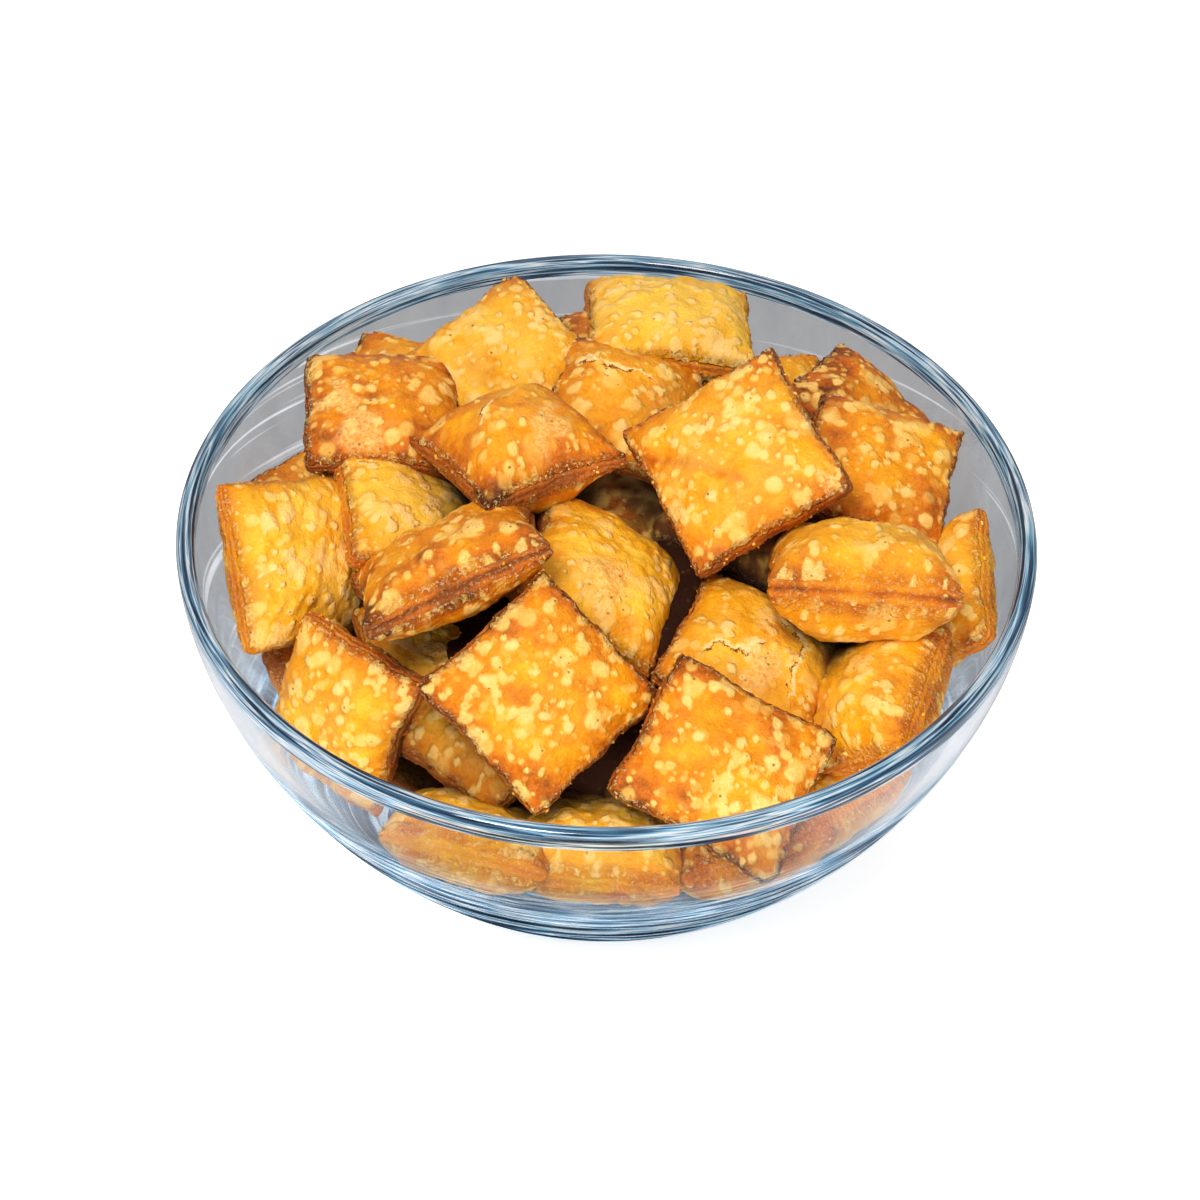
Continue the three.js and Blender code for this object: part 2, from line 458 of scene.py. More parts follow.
glassLook = {
    "wall": {
        "transmission": 1,
        "roughness": 0,
        "round": 9,
        "fineness": 0.06,
        "tintsAndPaintedReflections": [(0.3, srgb(222, 225, 230)), (0.5, srgb(236, 238, 241)), (0.7, srgb(246, 247, 249))],
    },
    # Painted reflections: the rim is partly opaque, with dark slate lines and white streaks in its
    # colour
    "rim": {
        "transmission": 0.4,
        "roughness": 0.05,
        "round": 2.2,
        "fineness": 1.15,
        "tintsAndPaintedReflections": [
            (0.38, srgb(22, 40, 62)),
            (0.45, srgb(66, 108, 142)),
            (0.5, srgb(150, 202, 228)),
            (0.54, srgb(252, 254, 255)),
            (0.575, srgb(104, 150, 184)),
            (0.63, srgb(26, 46, 70)),
        ],
    },
    # Painted reflections: blue, slate and white bands in the thick base's colour
    "base": {
        "transmission": 0.75,
        "roughness": 0.03,
        "round": 2.6,
        "fineness": 0.42,
        "tintsAndPaintedReflections": [
            (0.32, srgb(84, 112, 138)),
            (0.44, srgb(150, 186, 208)),
            (0.52, srgb(240, 248, 252)),
            (0.6, srgb(120, 158, 186)),
            (0.72, srgb(84, 112, 140)),
        ],
    },
    "refraction": 1.47,
    "shadow": (0.92, 0.93, 0.94, 1),  # light that the glass lets through to what it holds
}


def glassMaterial(name):
    look = glassLook[name]
    material, tree, shader = newMaterial("glass " + name)
    tintsAndPaintedReflections = useGroup(tree, streakGroup, Vector=millimetres(tree), Up=field(tree, "up"),
                       Round=look["round"], Fineness=look["fineness"])
    # Painted reflections on the rim and base; on the wall only a faint tint
    tree.links.new(ramp(tree, tintsAndPaintedReflections["Streak"], look["tintsAndPaintedReflections"]), shader.inputs["Base Color"])
    shader.inputs["Roughness"].default_value = look["roughness"]
    shader.inputs["IOR"].default_value = glassLook["refraction"]
    shader.inputs["Transmission Weight"].default_value = look["transmission"]
    clear = tree.nodes.new("ShaderNodeBsdfTransparent")
    clear.inputs["Color"].default_value = glassLook["shadow"]
    mixByRay(tree, "Is Shadow Ray", shader, clear)
    return material


pastry = pastryMaterial(pastryLook)
glass = [glassMaterial(name) for name in ("wall", "rim", "base")]
print("materials made")


bowlShape = {
    "rimRadius": 70.5,
    "rimBead": 1.5,
    "rimHeight": 62,  # of the bead's centre line
    "outerDepth": 76.5,
    "outerPower": 1.65,
    "innerRadius": 67.5,
    "innerDepth": 71,
    "innerPower": 1.7,
    "floorHeight": 6.5,
    "floorBlend": 1.5,
    "footRingWidth": 7,
    "footRecess": 1.2,
    "rimBand": 1.7,  # from the bead's centre line down to where the clear wall starts
    "baseHeight": 9,  # top of the thick base outside
    "floorEdge": 14,  # above this the inside is followed by height, below it by radius
    "outsideRows": 36,
    "rimRows": 17,
    "insideRows": 30,
    "segments": 256,
}


def superellipse(radius, depth, power, drop):
    return radius * np.maximum(0, 1 - (drop / depth) ** power) ** (1 / power)


def outerWall(z):
    shape = bowlShape
    drop = np.maximum(0, shape["rimHeight"] - z)
    return superellipse(shape["rimRadius"], shape["outerDepth"], shape["outerPower"], drop)


def innerWall(z):
    shape = bowlShape
    drop = np.maximum(0, shape["rimHeight"] - z)
    return superellipse(shape["innerRadius"], shape["innerDepth"], shape["innerPower"], drop)


def insideHeight(radius):
    # The inner wall's height at a radius, eased into the flat floor by a hyperbola
    shape = bowlShape
    share = np.minimum(1, radius / shape["innerRadius"])
    drop = shape["innerDepth"] * (1 - share ** shape["innerPower"]) ** (1 / shape["innerPower"])
    rise = shape["rimHeight"] - drop - shape["floorHeight"]
    return shape["floorHeight"] + (rise + np.hypot(rise, 2 * shape["floorBlend"])) / 2


def bowlProfile(shape):
    # Up the outside along one superellipse, over a half-round rim, down the inside along another
    foot = outerWall(0.0)
    under = np.array([
        (0, shape["footRecess"]),
        (foot - shape["footRingWidth"] - 4, shape["footRecess"]),
        (foot - shape["footRingWidth"] - 1.5, shape["footRecess"]),
        (foot - shape["footRingWidth"], 0),
        (foot - 1, 0),
        (outerWall(0.8), 0.8),
    ])
    for _ in range(2):  # cuts each corner a quarter of the way in from both sides
        before, after = under[:-1], under[1:]
        cut = np.stack([before * 0.75 + after * 0.25, before * 0.25 + after * 0.75], 1).reshape(-1, 2)
        under = np.vstack([under[:1], cut[1:-1], under[-1:]])
    under[:, 1] = np.maximum(under[:, 1], 0)
    rise = shape["rimHeight"] * np.linspace(0.03, 1, shape["outsideRows"])[:-1]
    outside = np.stack([outerWall(rise), rise], 1)
    angle = np.radians(np.linspace(0, 180, shape["rimRows"]))
    centre = shape["rimRadius"] - shape["rimBead"]
    bead = shape["rimBead"] * np.stack([np.cos(angle), np.sin(angle)], 1)
    rim = bead + (centre, shape["rimHeight"])
    fall = np.linspace(shape["rimHeight"], shape["floorEdge"], shape["insideRows"])[1:]
    inside = np.stack([innerWall(fall), fall], 1)
    radius = np.linspace(innerWall(shape["floorEdge"]), 0, shape["insideRows"])[1:]
    floor = np.stack([radius, insideHeight(radius)], 1)
    return np.vstack([under, outside, rim, inside, floor])


def glassBowl(shape):
    profile = bowlProfile(shape)
    points, faces = lathe(profile, shape["segments"])
    run = np.concatenate([[0], np.cumsum(np.linalg.norm(np.diff(profile, axis=0), axis=1))])
    up = np.append(np.repeat(run[1:-1], shape["segments"]), [run[0], run[-1]])
    middle = np.concatenate([points[part].mean(1) for part in faces])
    radius = np.hypot(middle[:, 0], middle[:, 1])
    outside = radius > innerWall(middle[:, 2]) + 1.2
    slots = np.where(middle[:, 2] > shape["rimHeight"] - shape["rimBand"], 1, 0)
    slots = np.where(outside & (middle[:, 2] < shape["baseHeight"]), 2, slots)
    return addPiece("glass_bowl", points, faces, glass, {"up": up}, slots)


bowl = glassBowl(bowlShape)
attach(bowl, "root")
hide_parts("bowl")
print("bowl turned")


# What every snack has, unless its own entry says otherwise
snackShape = {
    "toast": 0.5,  # how brown, from 0 to 1
    "sunny": 0.3,  # painted light: how much yellower the top of the dome is
    "blisters": 1,  # more or fewer of them than below
    "edge": 2.6,  # thickness at the cut wall
    "pinch": 0.06,  # how far each side draws in halfway along
    "puffPower": 2.6,
    "roundness": 0.6,
    "cornerRound": 0.04,
    "seam": 0.25,  # depth of the groove along the wall, and how much painted shade browns it
    "wallToast": 0.1,  # how much browner the wall is
    "worn": 1,  # how torn the edges are
    "deep": 1,  # how strong the painted shade is where it lies deep in the heap
    "cracks": (),
    "creases": (),
    "patches": (),
    "wallGap": 0.3,  # kept from the glass
    "wallRows": 8,  # rows of faces on the cut wall
    "crowding": 0.6,  # how far the grid's lines draw together towards the edges
    "lump": 0.45,
    "lumpWidth": 9,
    "dimple": 0.15,
    "dimpleWidth": 3,
    "sway": 0.35,  # of the sides, in the snack's own plane
    "swayWidth": 9,
    "crumble": 0.26,
    "crumbleWidth": 1.5,
}

# On each face: how many, their radii, how pale they are and how high for each millimetre of radius
blisterKinds = [
    {"count": 16, "radius": (1.4, 2.4), "pale": (0.35, 0.8), "rise": 0.05},
    {"count": 150, "radius": (0.55, 1.3), "pale": (0.2, 1.0), "rise": 0.1},
]

smoothWall = {"wallToast": -0.12, "worn": 0.6}

# "turn" spins a snack flat about z, then it tips by "lean" towards the compass direction "towards",
# anticlockwise from +X. Cracks (with the height of their lip), creases (with depth and width) and
# peeled patches (with radius) are lines and rounds in the snack's own plane.
shownSnacks = [
    {"at": (-18, 37, 64), "turn": 40, "lean": 19, "towards": -110, "size": (27, 27, 13),
     "toast": 0.3, "sunny": 0.7, "blisters": 1.3},
    {"at": (10, 46, 66), "turn": 2, "lean": 10, "towards": 60, "size": (29, 26, 13), "toast": 0.13,
     "sunny": 1, "blisters": 1.3},
    {"at": (5, 46, 59), "turn": 8, "lean": 12, "towards": 60, "size": (26, 26, 12), "toast": 0.55,
     "sunny": 0.2},
    {"at": (-34, 36, 56), "turn": -14, "lean": 12, "towards": -90, "size": (26, 26, 12)},
    {"at": (-38, 24, 64), "turn": 5, "lean": 8, "towards": -35, "size": (27, 26, 13), "toast": 0.59,
     "sunny": 0.1, "patches": [(-4.3, -8, 5.5), (-8.6, -1, 4)]},
    {"at": (-15, 9, 70), "turn": 31, "lean": 10, "towards": 120, "size": (27, 27, 19), "sunny": 0.2,
     "pinch": 0.13, "roundness": 0.85, "blisters": 0.6, "patches": [(3, -6.5, 5)],
     "cracks": [([(2.2, 3.4), (-2, 3.4), (-6.2, -0.1)], 0.25)]},
    {"at": (2, 26, 64), "turn": 78, "lean": 14, "towards": -60, "size": (25, 25, 15),
     "cracks": [([(3.9, 8.4), (3.7, 3), (3.1, -2.6)], 0.35)]},
    {"at": (21, 5, 72), "turn": 24, "lean": 33, "towards": -118, "size": (29, 29, 12),
     "toast": 0.43, "sunny": 0.5, "blisters": 1.3, "edge": 3.4,
     "creases": [([(-12.3, 6.8), (-6.4, 1.9), (-3.3, -1.7), (-0.9, -5.3)], 0.3, 1.1)],
     "patches": [(11, -13, 2.6)]},
    {"at": (45, 12, 64), "turn": 80, "lean": 18, "towards": -59, "size": (25, 25, 12),
     "toast": 0.52, "sunny": 0.1},
    {"at": (42, 30, 60), "turn": 55, "lean": 28, "towards": -10, "size": (24, 24, 12),
     "toast": 0.68, "sunny": 0},
    {"at": (27, 37, 52), "turn": 15, "lean": 20, "towards": -60, "size": (26, 26, 12),
     "toast": 0.35, "sunny": 0.6},
    {"at": (-10, -36, 59), "turn": 47, "lean": 45, "towards": -80, "size": (28, 28, 12),
     "toast": 0.52, "sunny": 0.15, "blisters": 1.4},
    {"at": (19, -45, 53), "turn": 65, "lean": 42, "towards": -82, "size": (25, 29, 12),
     "toast": 0.53, "sunny": 0.1, "blisters": 1.3},
    {"at": (-51, -5, 57), "turn": 29, "lean": 53, "towards": -28, "size": (28, 28, 13),
     "toast": 0.28, "sunny": 0.8, "blisters": 1.3, "wallToast": -0.1, "worn": 0.6},
    {"at": (-42, -28, 45.2), "turn": 52, "lean": 70, "towards": -120, "size": (27, 23.5, 13),
     "toast": 0.42, "sunny": 0.4, "blisters": 1.3, "wallToast": -0.05, "worn": 0.7},
    {"at": (-32, 4, 57), "turn": 10, "lean": 28, "towards": 7, "size": (27, 26, 13), "toast": 0.15,
     "sunny": 1, "blisters": 1.3, "wallToast": 0, "worn": 0.8},
    {"at": (-1, -10, 58), "turn": 75, "lean": 28, "towards": 0, "size": (29, 27, 15), "toast": 0.28,
     "blisters": 0.8, "patches": [(-6.5, 0.6, 7)]},
    {"at": (24, -22, 53), "turn": 69, "lean": 15, "towards": -21, "size": (27, 27, 14),
     "toast": 0.34, "sunny": 0.5, "blisters": 0.8, "patches": [(-5.5, -2.2, 6)],
     "cracks": [([(-7.2, 7.3), (-5.3, 6.5), (-4.6, 3.2), (-5.2, 1), (-2.3, -0.1)], 0.3),
                ([(4.9, -1.6), (3.3, -4.9), (1.3, -6.4), (-3.9, -6.3), (-7.2, -7.4)], 0.25)]},
    {"at": (43, -28, 49), "turn": 70, "lean": 42, "towards": 170, "size": (26, 26, 18),
     "toast": 0.35, "sunny": 0.5, "wallToast": -0.1, "worn": 0.6},
    {"at": (54, -6, 51), "turn": 85, "lean": 52, "towards": -170, "size": (26, 26, 12),
     "toast": 0.3, "sunny": 0.5, "wallToast": -0.12, "worn": 0.7},
    {"at": (-25, -15, 66), "turn": 15, "lean": 34, "towards": 138, "size": (33, 28, 14),
     "toast": 0.55, "sunny": 0.1, "blisters": 1.2, "edge": 3.2, "seam": 0.6, "pinch": 0.13,
     "wallToast": 0, "worn": 0.7},
    {"at": (41, -13, 63), "turn": 0, "lean": 35, "towards": 85, "size": (32, 28, 19), "toast": 0.36,
     "sunny": 0.5, "edge": 3.8, "pinch": 0.13, "wallToast": -0.1, "seam": 0.55, "worn": 0.45},
    {"at": (-44, 16, 50), "turn": 50, "lean": 30, "towards": -30, "size": (26, 26, 12)},
    {"at": (-26, -17, 46), "turn": 20, "lean": 15, "towards": -30, "size": (26, 26, 13),
     "toast": 0.35, "sunny": 0.6, **smoothWall, "deep": 0.35},
    {"at": (-19, -28, 44), "turn": 50, "lean": 14, "towards": -110, "size": (26, 26, 13),
     "toast": 0.45, "sunny": 0.4, **smoothWall, "deep": 0.6},
    {"at": (0, -46, 36), "turn": -6, "lean": 15, "towards": 90, "size": (28, 23, 14), "toast": 0.27,
     "sunny": 0.6, "wallToast": -0.2, "worn": 0.5},
    {"at": (-20, -45, 35), "turn": -10, "lean": 40, "towards": 70, "size": (27, 25, 13),
     "toast": 0.25, "sunny": 0.5, "wallToast": -0.25, "worn": 0.6},
    {"at": (23, -43, 32), "turn": 15, "lean": 45, "towards": 115, "size": (26, 25, 13),
     "toast": 0.33, "sunny": 0.4, **smoothWall},
    {"at": (35, -36, 35), "turn": 35, "lean": 45, "towards": 130, "size": (25, 25, 13),
     "toast": 0.33, "sunny": 0.4, **smoothWall},
]

hiddenSnacks = [
    {"at": (-42, -18, 35), "turn": 40, "lean": 45, "towards": 25, "size": (26, 26, 13)},
    {"at": (4, 8, 54), "turn": 20, "lean": 15, "towards": 0, "size": (27, 27, 14), "toast": 0.95},
    {"at": (24, 7, 60), "turn": 60, "lean": 18, "towards": -100, "size": (27, 27, 15), "toast": 0.95},
    {"at": (17, -36, 44), "turn": 65, "lean": 32, "towards": -85, "size": (26, 26, 14)},
]

# Rings of snacks that line the glass lower down, each leaning in to the axis
rings = [
    {"first": -18, "step": 31, "count": 7, "radius": 43, "height": 38, "lean": 50},
    {"first": 10, "step": 40, "count": 9, "radius": 35, "height": 25, "lean": 42},
    {"first": 30, "step": 72, "count": 5, "radius": 19, "height": 15, "lean": 12},
]
for ring in rings:
    for i in range(ring["count"]):
        angle = ring["first"] + ring["step"] * i
        uneven = (i * 3) % 5 - 2
        radius = ring["radius"] - abs(uneven)
        x, y = radius * math.cos(math.radians(angle)), radius * math.sin(math.radians(angle))
        hiddenSnacks.append({
            "at": (x, y, ring["height"] + uneven),
            "turn": angle + 14 * uneven,
            "lean": ring["lean"] + 4 * uneven,
            "towards": angle + 180 + 5 * uneven,
            "size": (26, 25, 13),
        })


def gridQuads(side):
    grid = np.arange(side * side).reshape(side, side)
    return np.stack([grid[:-1, :-1], grid[1:, :-1], grid[1:, 1:], grid[:-1, 1:]], -1).reshape(-1, 4)


def sheetGrid(steps, rows):
    # Two square grids of points, face to face, and rows of points down the wall between them
    side = steps + 1
    grid = np.arange(side * side).reshape(side, side)
    quads = gridQuads(side)
    edge = np.concatenate([grid[:-1, 0], grid[-1, :-1], grid[:0:-1, -1], grid[0, :0:-1]])
    bottom = side * side
    wallStart = 2 * side * side
    between = wallStart + np.arange((rows - 1) * len(edge)).reshape(rows - 1, -1)
    wall = np.vstack([edge, between, edge + bottom])
    after = np.roll(wall, -1, 1)
    wallQuads = np.stack([wall[:-1], wall[1:], after[1:], after[:-1]], -1).reshape(-1, 4)
    return edge, np.vstack([quads, quads[:, ::-1] + bottom, wallQuads])


def keepInside(points, gap):
    # Draws points in until they clear the glass
    points[:, 2] = np.maximum(points[:, 2], insideHeight(0.0) + gap)
    limit = innerWall(points[:, 2]) - gap
    radius = np.hypot(points[:, 0], points[:, 1])
    points[:, :2] *= np.minimum(1, limit / np.maximum(radius, 1e-6))[:, None]
    return points


farFromCrack = 9.0


def evenFields(count, **given):
    # The material's fields for a surface without blisters, wall or crack of its own
    values = {"toast": 0.5, "crackSide": farFromCrack}
    values.update(dict.fromkeys(("sunny", "blister", "wall", "worn", "peeled"), 0))
    values.update(given)
    return {name: np.full(count, value, float) for name, value in values.items()}


def stackSurfaces(parts):
    points, fields = zip(*parts)
    joined = {name: np.concatenate([field[name] for field in fields]) for name in fields[0]}
    return np.vstack(points), joined


def blisterField(flat, reach, share, draw):
    # Round blisters: each grows pale from its rim inwards and rises as a low dome. Where some meet,
    # the palest counts.
    bent = flat + 0.16 * np.stack([unevenness(flat, 3, draw), unevenness(flat, 3, draw)], -1)
    bent += 0.07 * np.stack([unevenness(flat, 1.2, draw), unevenness(flat, 1.2, draw)], -1)
    paleness, rise = np.zeros(len(flat)), np.zeros(len(flat))
    for kind in blisterKinds:
        count = round(kind["count"] * share)
        centres = draw.uniform(-1, 1, (count, 2)) * reach
        beside = draw.uniform(0, 1, count) < 0.4
        chosen = draw.integers(0, count, beside.sum())
        centres[beside] = centres[chosen] + draw.normal(0, 1.6, (beside.sum(), 2))
        low, high = kind["radius"]
        radii = low + (high - low) * draw.uniform(0, 1, count) ** 1.6
        pale = draw.uniform(*kind["pale"], count)
        away = (bent[:, None] - centres).astype(np.float32)
        depth = 1 - np.hypot(away[..., 0], away[..., 1]) / radii.astype(np.float32)
        disc = ease(depth, 0, 0.4) * pale.astype(np.float32)
        paleness = np.maximum(paleness, disc.max(1)) + 0.25 * np.minimum(paleness, disc.max(1))
        rise = np.maximum(rise, (ease(depth, 0, 0.7) * radii).max(1) * kind["rise"])
    return paleness, rise


def lineSide(flat, line):
    # How far points lie from a line through some corners: above 0 on its left and below 0 on its right
    corners = np.array(line, float)
    run = np.diff(corners, axis=0)
    away = flat[:, None] - corners[:-1]
    share = np.clip((away * run).sum(-1) / (run ** 2).sum(-1), 0, 1)
    away = away - share[..., None] * run
    nearest = np.linalg.norm(away, axis=-1).argmin(1)
    away, run = away[np.arange(len(flat)), nearest], run[nearest]
    left = run[:, 0] * away[:, 1] - run[:, 1] * away[:, 0] > 0
    return np.linalg.norm(away, axis=1) * np.where(left, 1, -1)


def snackPlan(snack, steps, draw):
    # Over u and v from -1 to 1: x is half the length times u, drawn in by the pinch halfway along
    # each side; y likewise from v. The dome is ((1 - |u|^p)(1 - |v|^p))^q.
    bend = math.pi / 2 * snack["crowding"]
    line = np.sin(np.linspace(-1, 1, steps + 1) * bend) / math.sin(bend)
    u, v = (part.ravel() for part in np.meshgrid(line, line, indexing="ij"))
    length, width, thickness = snack["size"]
    pinch = snack["pinch"]
    tuck = 1 - snack["cornerRound"] * np.abs(u * v) ** 8
    x = length / 2 * u * (1 - pinch * (1 - v * v) * np.abs(u)) * tuck
    y = width / 2 * v * (1 - pinch * (1 - u * u) * np.abs(v)) * tuck
    flat = np.stack([x, y], -1)
    sway = [unevenness(flat, snack["swayWidth"], draw) for _ in range(2)]
    flat = flat + np.stack(sway, -1) * snack["sway"]
    power = snack["puffPower"]
    hill = np.maximum(0, (1 - np.abs(u) ** power) * (1 - np.abs(v) ** power))
    return u, v, flat, hill ** snack["roundness"]


def snackFace(snack, plan, edgeHalf, sign, draw):
    # Half the edge thickness plus the dome's share of half the puff, with lumps and blisters: up
    # on one face and down on the other. Only the upper face has cracks, creases and peeled patches.
    u, v, flat, dome = plan
    length, width, thickness = snack["size"]
    lump = unevenness(flat, snack["lumpWidth"], draw) * snack["lump"] * dome
    lump += unevenness(flat, snack["dimpleWidth"], draw) * snack["dimple"]
    blister, blisterRise = blisterField(flat, (length / 2, width / 2), snack["blisters"], draw)
    puff = (thickness - snack["edge"]) / 2
    rise = edgeHalf + puff * dome + lump + blisterRise * ease(dome, 0, 0.3)
    toast = snack["toast"] - 0.02 + 0.27 * (1 - dome) ** 1.5 + 0.15 * np.abs(u * v) ** 2
    toast = toast + 0.12 * unevenness(flat, 11, draw)
    peeled = np.zeros(len(flat))
    crackSide = np.full(len(flat), farFromCrack)
    if sign > 0:
        for line, lift in snack["cracks"]:
            side = lineSide(flat, line)
            rise = rise + lift * ease(side, -0.25, 0.35) * (1 - ease(side, 0.8, 4.5))
            crackSide = np.where(np.abs(side) < np.abs(crackSide), side, crackSide)
        # Creases: grooves, browned along them with painted shade, with fewer blisters in them
        for line, deep, wide in snack["creases"]:
            fold = np.exp(-((lineSide(flat, line) / wide) ** 2))
            rise = rise - deep * fold
            toast = toast + 0.3 * fold
            blister = blister * (1 - 0.7 * fold)
        for across, along, radius in snack["patches"]:
            away = np.hypot(flat[:, 0] - across, flat[:, 1] - along) + 2 * unevenness(flat, 5, draw)
            here = ease(1 - away / radius, 0, 0.8)
            peeled = np.maximum(peeled, here)
            rise = rise - 0.08 * here
    wall = ease(np.maximum(np.abs(u), np.abs(v)), 0.9, 1.0) * 0.45
    # Painted light: the yellowing on top is strongest on the dome
    return np.column_stack([flat, sign * rise]), evenFields(
        len(flat), toast=toast, sunny=snack["sunny"] * dome, blister=blister, wall=wall,
        worn=snack["worn"], peeled=peeled, crackSide=crackSide)


def snackWall(snack, top, bottom, toast):
    # Rows of points between the faces' edges, bulging out but for the seam halfway down
    ahead = np.roll(top, -1, 0) - np.roll(top, 1, 0)
    out = np.stack([ahead[:, 1], -ahead[:, 0], np.zeros(len(top))], -1)
    out /= np.linalg.norm(out, axis=1)[:, None]
    parts = []
    for down in np.arange(1, snack["wallRows"]) / snack["wallRows"]:
        seam = snack["seam"] * math.exp(-(((down - 0.5) / 0.14) ** 2))
        bulge = 0.4 * math.sin(math.pi * down) ** 0.5 - seam
        # Painted shade: the row is browner along the seam's groove
        rowToast = toast + snack["wallToast"] + 0.6 * seam
        fields = evenFields(len(top), toast=rowToast, wall=1, worn=snack["worn"])
        parts.append((top * (1 - down) + bottom * down + out * bulge, fields))
    return parts


def snackSurface(snack, steps, seed):
    draw = np.random.default_rng(seed)
    edge, quads = sheetGrid(steps, snack["wallRows"])
    plan = snackPlan(snack, steps, draw)
    u, v, flat = plan[:3]
    edgeHalf = snack["edge"] / 2 * (1 + 0.15 * unevenness(flat, 8, draw))
    edgeHalf = edgeHalf * (1 - 0.35 * np.abs(u * v) ** 3)
    parts = [snackFace(snack, plan, edgeHalf, sign, draw) for sign in (1, -1)]
    top, bottom = (points[edge] for points, fields in parts)
    parts += snackWall(snack, top, bottom, parts[0][1]["toast"][edge])
    points, fields = stackSurfaces(parts)

    width = snack["crumbleWidth"]
    crumble = np.stack([unevenness(points, width, draw, waves=24) for _ in range(3)], -1)
    crumble += 0.5 * np.stack([unevenness(points, width / 2, draw, waves=24) for _ in range(3)], -1)
    wall, worn = fields["wall"], fields["worn"]
    torn = 0.12 + (3.5 * wall * (1 - wall) + 0.4 * wall) * worn
    points = points + crumble * snack["crumble"] * torn[:, None]

    towards, lean, spin = (math.radians(snack[key]) for key in ("towards", "lean", "turn"))
    tip = Matrix.Rotation(towards, 3, "Z") @ Matrix.Rotation(lean, 3, "Y")
    tip = tip @ Matrix.Rotation(spin - towards, 3, "Z")
    points = points @ np.array(tip).T + np.array(snack["at"])
    points[:, 2] = np.minimum(points[:, 2], cadBox[1][2] / mm - 0.05)
    return keepInside(points, snack["wallGap"]), [quads], fields


def heapTop(points, cell, spread):
    # Highest point over each cell of a plan grid, averaged over the filled cells around it, and
    # read off between the cells' middles so that it changes smoothly
    side = int(2 * bowlShape["rimRadius"] / cell) + 3
    place = points[:, :2] / cell + side / 2
    column, row = place.astype(int).T
    top = np.full((side, side), -1.0)
    np.maximum.at(top, (column, row), points[:, 2])
    filled = (top >= 0).astype(float)
    total, count = np.zeros_like(top), np.zeros_like(top)
    for across in range(-spread, spread + 1):
        for along in range(-spread, spread + 1):
            total += np.roll(np.maximum(top, 0), (across, along), (0, 1))
            count += np.roll(filled, (across, along), (0, 1))
    mean = total / np.maximum(count, 1)
    column, row = (place - 0.5).astype(int).T
    part = place - 0.5 - np.stack([column, row], 1)
    before = mean[column, row] * (1 - part[:, 1]) + mean[column, row + 1] * part[:, 1]
    after = mean[column + 1, row] * (1 - part[:, 1]) + mean[column + 1, row + 1] * part[:, 1]
    return before * (1 - part[:, 0]) + after * part[:, 0]


# How the painted shade deep in the heap is worked out
paintedShadeShape = {
    "cell": 2.0,
    "spread": 3,  # cells averaged to each side
    "below": (5, 17),
    "inward": (9, 18),
    "hidden": 1.6,  # how much stronger the painted shade is on the snacks that don't show
}


def paintedShadeField(points, shape):
    # Painted shade: 1 where a point lies far under the heap's average top and well in from the snacks
    # along the glass
    below = heapTop(points, shape["cell"], shape["spread"]) - points[:, 2]
    inward = innerWall(points[:, 2]) - np.hypot(points[:, 0], points[:, 1])
    return ease(below, *shape["below"]) * ease(inward, *shape["inward"])


def heapCore(shape):
    # The plain turned body inside the heap, with lumps, near black with painted shade so that the gaps
    # between the snacks look dark
    profile = np.array(shape["profile"], float)
    run = np.concatenate([[0], np.cumsum(np.linalg.norm(np.diff(profile, axis=0), axis=1))])
    at = np.linspace(0, run[-1], shape["rows"])
    smooth = np.stack([np.interp(at, run, profile[:, 0]), np.interp(at, run, profile[:, 1])], 1)
    points, faces = lathe(smooth, shape["segments"])
    draw = np.random.default_rng(7)
    lumps = [unevenness(points, shape["lumpWidth"], draw) for _ in range(3)]
    points += shape["lump"] * np.stack(lumps, -1)
    points = keepInside(points, 1.5)
    return points, faces, evenFields(len(points), toast=shape["toast"])


coreShape = {
    "profile": [(0, 8.5), (17, 9), (31, 20), (40, 34), (42, 42), (36, 50), (22, 56), (0, 58)],
    "segments": 96,
    "rows": 60,
    "lump": 1.6,
    "lumpWidth": 9,
    # painted shade: toasted past the darkest brown
    "toast": 1.3,
}


def looseCrumbs(parts, shape):
    # Flakes on the edges of the snacks: five-sided lumps, each stretched and turned at random
    draw = np.random.default_rng(11)
    places = np.vstack([points for points, faces, fields in parts])
    edges = np.concatenate([fields["wall"] * (fields["wall"] > 0.2) for points, faces, fields in parts])
    edges = edges * (places[:, 2] > shape["above"])
    count = shape["count"]
    chosen = draw.choice(len(places), count, p=edges / edges.sum())
    lump, faces = lathe(np.array([(0, -0.7), (0.8, -0.5), (1, 0.4), (0, 0.7)]), 5)
    low, high = shape["size"]
    size = low + (high - low) * draw.uniform(0, 1, (count, 1, 1)) ** 2.5
    points = lump * size * draw.uniform(0.5, 1.3, (count, 1, 3))
    points += draw.normal(0, 0.15, points.shape) * size
    turn = draw.normal(size=(count, 4))
    w, x, y, z = (turn / np.linalg.norm(turn, axis=1)[:, None]).T
    rows = [(1 - 2 * (y * y + z * z), 2 * (x * y - z * w), 2 * (x * z + y * w)),
            (2 * (x * y + z * w), 1 - 2 * (x * x + z * z), 2 * (y * z - x * w)),
            (2 * (x * z - y * w), 2 * (y * z + x * w), 1 - 2 * (x * x + y * y))]
    points = points @ np.array(rows).transpose(2, 1, 0) + places[chosen][:, None]
    points = keepInside(points.reshape(-1, 3), 0.1)
    first = np.arange(count)[:, None, None] * len(lump)
    blocks = [(block + first).reshape(-1, block.shape[1]) for block in faces]
    tone = np.repeat(draw.uniform(0, 1, count), len(lump))
    return points, blocks, evenFields(len(points), toast=0.5 - 0.4 * tone, blister=tone)


crumbShape = {
    "count": 2200,
    "size": (0.1, 0.45),
    "above": 26,  # lower down there are none
}

